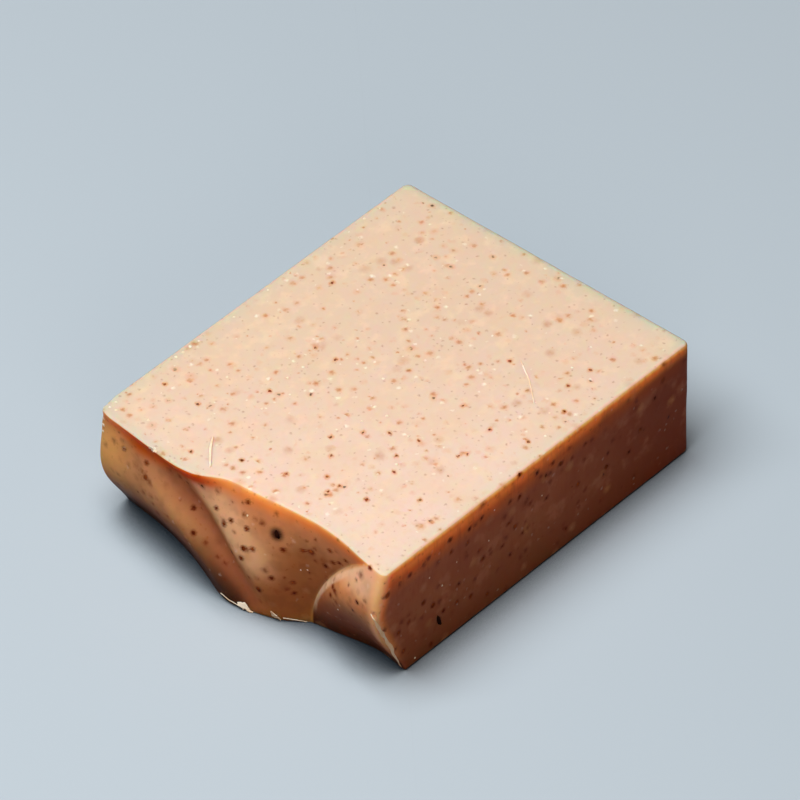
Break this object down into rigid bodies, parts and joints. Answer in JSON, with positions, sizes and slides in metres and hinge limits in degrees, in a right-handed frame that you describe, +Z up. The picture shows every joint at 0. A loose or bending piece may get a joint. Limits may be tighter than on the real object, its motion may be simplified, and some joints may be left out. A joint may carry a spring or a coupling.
{
  "type": "bar of soap",
  "caption": "Slice of handmade soap with flat cut faces, moulded sides and a swirled, folded loaf top along one side",
  "frame": {"origin": "middle of the bar's outline, on the surface that it lies on", "axes": "+X from the swirled loaf top to the flat loaf bottom, along the long side; +Y across the loaf; +Z up, through the thickness of the slice"},
  "size_m": [0.0822, 0.066, 0.025],
  "materials": {
    "soap": "waxy cured soap, peach, with fine brown specks; glows orange at thin edges"
  },
  "bodies": {
    "root": {"soap_bar": "soap"}
  },
  "joints": []
}
